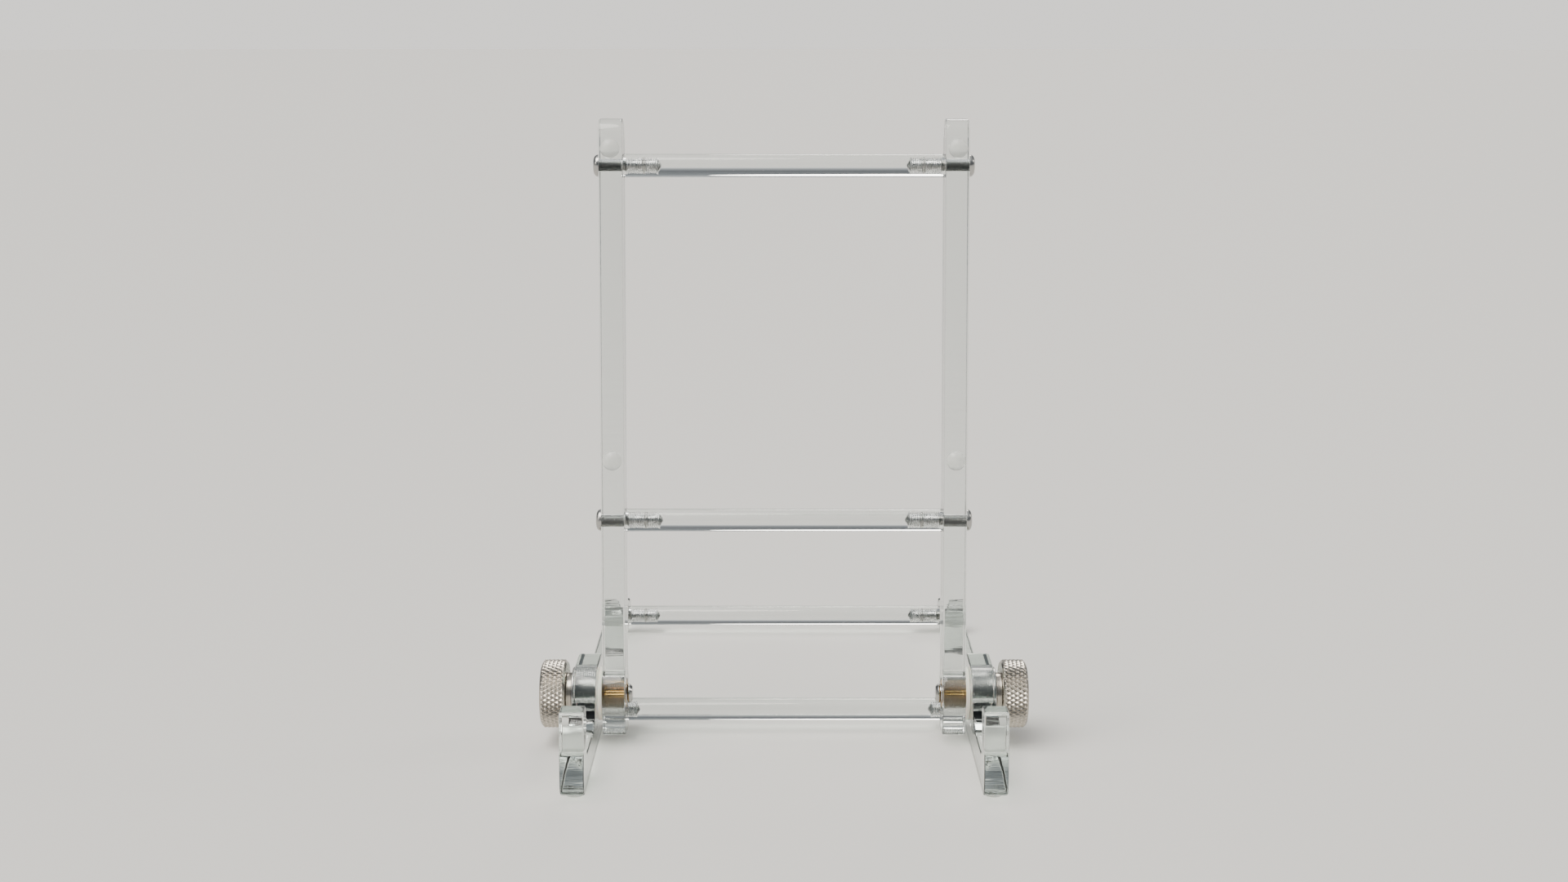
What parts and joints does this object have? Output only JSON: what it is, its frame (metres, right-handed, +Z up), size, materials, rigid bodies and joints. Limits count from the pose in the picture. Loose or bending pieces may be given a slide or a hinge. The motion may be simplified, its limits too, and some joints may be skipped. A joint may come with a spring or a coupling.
{
  "type": "plate display stand",
  "caption": "Clear plate display stand: two side rails with front lips, and a tilting back frame clamped by thumb screws at a low hinge.",
  "frame": {"origin": "centre of the footprint, on the surface that the four foot pads stand on", "axes": "+Z up; -Y to the front, where the lips are; X across the stand, along the hinge axis"},
  "size_m": [0.1272, 0.14, 0.1617],
  "materials": {
    "clear_acrylic": "clear cast acrylic with flame-polished edges",
    "clear_silicone": "clear silicone, slightly cloudy",
    "stainless_steel": "plain stainless steel, turned",
    "nickel_plate": "satin nickel plate on turned and knurled brass",
    "brass": "turned brass",
    "nylon": "natural nylon, slightly translucent"
  },
  "bodies": {
    "base": {"left_side_rail": "clear_acrylic", "right_side_rail": "clear_acrylic", "stop_rod": "clear_acrylic", "rear_tie_rod": "clear_acrylic", "stop_rod_screws": "stainless_steel", "rear_tie_screws": "stainless_steel", "left_friction_washer": "nylon", "right_friction_washer": "nylon", "left_outer_washer": "stainless_steel", "right_outer_washer": "stainless_steel", "left_notch_pad": "clear_silicone", "right_notch_pad": "clear_silicone", "front_foot_pads": "clear_silicone", "rear_foot_pads": "clear_silicone"},
    "back_frame": {"left_upright": "clear_acrylic", "right_upright": "clear_acrylic", "left_insert": "brass", "right_insert": "brass", "lower_cross_rod": "clear_acrylic", "upper_cross_rod": "clear_acrylic", "lower_rod_screws": "stainless_steel", "upper_rod_screws": "stainless_steel", "lower_bumpers": "clear_silicone", "upper_bumpers": "clear_silicone"},
    "left_thumb_screw": {"left_knob": "nickel_plate", "left_stud": "stainless_steel"},
    "right_thumb_screw": {"right_knob": "nickel_plate", "right_stud": "stainless_steel"}
  },
  "joints": [
    {"name": "back_tilt", "type": "hinge", "parent": "base", "child": "back_frame", "pos_m": [0, -0.028, 0.01302], "axis": [-1, 0, 0], "range_deg": [-8, 76]},
    {"name": "left_thumb_turn", "type": "hinge", "parent": "base", "child": "left_thumb_screw", "pos_m": [0, -0.028, 0.01302], "axis": [-1, 0, 0], "range_deg": [0, 360]},
    {"name": "right_thumb_turn", "type": "hinge", "parent": "base", "child": "right_thumb_screw", "pos_m": [0, -0.028, 0.01302], "axis": [1, 0, 0], "range_deg": [0, 360]}
  ]
}
